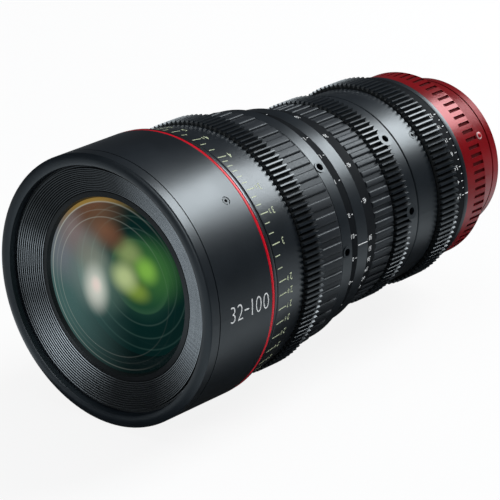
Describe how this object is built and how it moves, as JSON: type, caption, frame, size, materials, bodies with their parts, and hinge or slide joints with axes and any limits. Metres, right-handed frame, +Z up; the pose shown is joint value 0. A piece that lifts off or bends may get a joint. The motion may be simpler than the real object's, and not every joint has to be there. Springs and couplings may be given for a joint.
{
  "type": "cinema zoom lens",
  "caption": "Cinema zoom lens with geared focus, zoom and iris rings, a ribbed front baffle, a cam driven zoom, an iris of thin blades and a bayonet rear mount.",
  "frame": {"origin": "on the optical axis, at the face of the mount flange", "axes": "+Y along the optical axis from the front glass to the camera body, so the front faces -Y; +Z up, toward the scales' index line side top; +X to the right as seen from the front"},
  "size_m": [0.114, 0.226, 0.114],
  "materials": {
    "front_black": "satin black anodised",
    "baffle_black": "matte black with turned ribs",
    "cell_black": "matte black",
    "optical_glass": "polished and coated",
    "accent_red": "gloss red anodised",
    "bevel_silver": "turned and polished",
    "tube_metal": "machined",
    "index_grey": "satin grey anodised",
    "rear_black": "satin black anodised",
    "rear_red": "satin red anodised",
    "mount_steel": "fine turned steel",
    "screw_steel": "machined",
    "screw_black": "black oxide",
    "contact_black": "moulded",
    "contact_gold": "gold plated",
    "dome_red": "gloss",
    "guide_bronze": "bearing bronze",
    "cam_brass": "machined",
    "pin_steel": "ground",
    "scale_black": "matte black anodised",
    "gear_black": "satin black anodised",
    "grip_black": "satin black anodised",
    "band_grey": "satin grey anodised",
    "actuator_bronze": "machined",
    "blade_steel": "matte black coated steel"
  },
  "bodies": {
    "barrel": {"front_barrel": "front_black", "front_baffle": "baffle_black", "front_retainer": "baffle_black", "front_cell": "cell_black", "front_glass": "optical_glass", "second_glass": "optical_glass", "accent_ring": "accent_red", "bevel_ring": "bevel_silver", "main_tube": "tube_metal", "mid_ring": "index_grey", "rear_barrel": "rear_black", "index_ring": "index_grey", "name_ring": "rear_red", "rear_flange": "rear_red", "mount_ring": "mount_steel", "mount_screws": "screw_steel", "contact_block": "contact_black", "contact_pins": "contact_gold", "index_dome": "dome_red", "barrel_screws": "screw_black", "guide_tube": "guide_bronze", "iris_housing": "cell_black", "iris_cover": "cell_black", "relay_cell": "cell_black", "relay_glass": "optical_glass", "rear_cell": "cell_black", "rear_glass": "optical_glass"},
    "focus_ring": {"focus_sleeve": "tube_metal", "focus_scale": "scale_black", "focus_gear": "gear_black", "focus_grip": "grip_black", "focus_band": "band_grey", "distance_band": "scale_black"},
    "zoom_ring": {"zoom_scale": "scale_black", "zoom_grip": "grip_black", "zoom_gear": "gear_black", "zoom_band": "band_grey", "cam_barrel": "cam_brass", "zoom_key": "pin_steel"},
    "iris_ring": {"iris_gear": "gear_black", "iris_scale": "scale_black", "iris_actuator": "actuator_bronze", "iris_key": "pin_steel"},
    "focus_group": {"focus_cell": "cell_black", "focus_glass": "optical_glass", "focus_pins": "pin_steel"},
    "variator_group": {"variator_cell": "cell_black", "variator_glass": "optical_glass", "variator_pins": "pin_steel"},
    "compensator_group": {"compensator_cell": "cell_black", "compensator_glass": "optical_glass"},
    "iris_blade_1": {"blade_1": "blade_steel"},
    "iris_blade_2": {"blade_2": "blade_steel"},
    "iris_blade_3": {"blade_3": "blade_steel"},
    "iris_blade_4": {"blade_4": "blade_steel"},
    "iris_blade_5": {"blade_5": "blade_steel"},
    "iris_blade_6": {"blade_6": "blade_steel"},
    "iris_blade_7": {"blade_7": "blade_steel"},
    "iris_blade_8": {"blade_8": "blade_steel"},
    "iris_blade_9": {"blade_9": "blade_steel"}
  },
  "joints": [
    {"name": "focus_turn", "type": "hinge", "parent": "barrel", "child": "focus_ring", "pos_m": [0, -0.154, 0], "axis": [0, 1, 0], "range_deg": [-150, 150]},
    {"name": "zoom_turn", "type": "hinge", "parent": "barrel", "child": "zoom_ring", "pos_m": [0, -0.091, 0], "axis": [0, 1, 0], "range_deg": [-80, 80]},
    {"name": "iris_turn", "type": "hinge", "parent": "barrel", "child": "iris_ring", "pos_m": [0, -0.051, 0], "axis": [0, 1, 0], "range_deg": [0, 50]},
    {"name": "focus_travel", "type": "slide", "parent": "barrel", "child": "focus_group", "axis": [0, 1, 0], "range_m": [-0.00601, 0.00601]},
    {"name": "variator_travel", "type": "slide", "parent": "barrel", "child": "variator_group", "axis": [0, 1, 0], "range_m": [-0.01201, 0.01201]},
    {"name": "compensator_travel", "type": "slide", "parent": "barrel", "child": "compensator_group", "axis": [0, 1, 0], "range_m": [-0.00401, 0.00401]},
    {"name": "iris_blade_1_turn", "type": "hinge", "parent": "barrel", "child": "iris_blade_1", "pos_m": [0.033, -0.06, 0], "axis": [0, 1, 0], "range_deg": [0, 28.05]},
    {"name": "iris_blade_2_turn", "type": "hinge", "parent": "barrel", "child": "iris_blade_2", "pos_m": [0.02528, -0.06, -0.02121], "axis": [0, 1, 0], "range_deg": [0, 28.05]},
    {"name": "iris_blade_3_turn", "type": "hinge", "parent": "barrel", "child": "iris_blade_3", "pos_m": [0.00573, -0.06, -0.0325], "axis": [0, 1, 0], "range_deg": [0, 28.05]},
    {"name": "iris_blade_4_turn", "type": "hinge", "parent": "barrel", "child": "iris_blade_4", "pos_m": [-0.0165, -0.06, -0.02858], "axis": [0, 1, 0], "range_deg": [0, 28.05]},
    {"name": "iris_blade_5_turn", "type": "hinge", "parent": "barrel", "child": "iris_blade_5", "pos_m": [-0.03101, -0.06, -0.01129], "axis": [0, 1, 0], "range_deg": [0, 28.05]},
    {"name": "iris_blade_6_turn", "type": "hinge", "parent": "barrel", "child": "iris_blade_6", "pos_m": [-0.03101, -0.06, 0.01129], "axis": [0, 1, 0], "range_deg": [0, 28.05]},
    {"name": "iris_blade_7_turn", "type": "hinge", "parent": "barrel", "child": "iris_blade_7", "pos_m": [-0.0165, -0.06, 0.02858], "axis": [0, 1, 0], "range_deg": [0, 28.05]},
    {"name": "iris_blade_8_turn", "type": "hinge", "parent": "barrel", "child": "iris_blade_8", "pos_m": [0.00573, -0.06, 0.0325], "axis": [0, 1, 0], "range_deg": [0, 28.05]},
    {"name": "iris_blade_9_turn", "type": "hinge", "parent": "barrel", "child": "iris_blade_9", "pos_m": [0.02528, -0.06, 0.02121], "axis": [0, 1, 0], "range_deg": [0, 28.05]}
  ],
  "couplings": [
    {"joint": "focus_travel", "follows": "focus_turn", "m_per_rad": 0.0022918},
    {"joint": "variator_travel", "follows": "zoom_turn", "m_per_rad": 0.0085944},
    {"joint": "compensator_travel", "follows": "zoom_turn", "m_per_rad": -0.0028648},
    {"joint": "iris_blade_1_turn", "follows": "iris_turn", "ratio": 0.56},
    {"joint": "iris_blade_2_turn", "follows": "iris_turn", "ratio": 0.56},
    {"joint": "iris_blade_3_turn", "follows": "iris_turn", "ratio": 0.56},
    {"joint": "iris_blade_4_turn", "follows": "iris_turn", "ratio": 0.56},
    {"joint": "iris_blade_5_turn", "follows": "iris_turn", "ratio": 0.56},
    {"joint": "iris_blade_6_turn", "follows": "iris_turn", "ratio": 0.56},
    {"joint": "iris_blade_7_turn", "follows": "iris_turn", "ratio": 0.56},
    {"joint": "iris_blade_8_turn", "follows": "iris_turn", "ratio": 0.56},
    {"joint": "iris_blade_9_turn", "follows": "iris_turn", "ratio": 0.56}
  ]
}
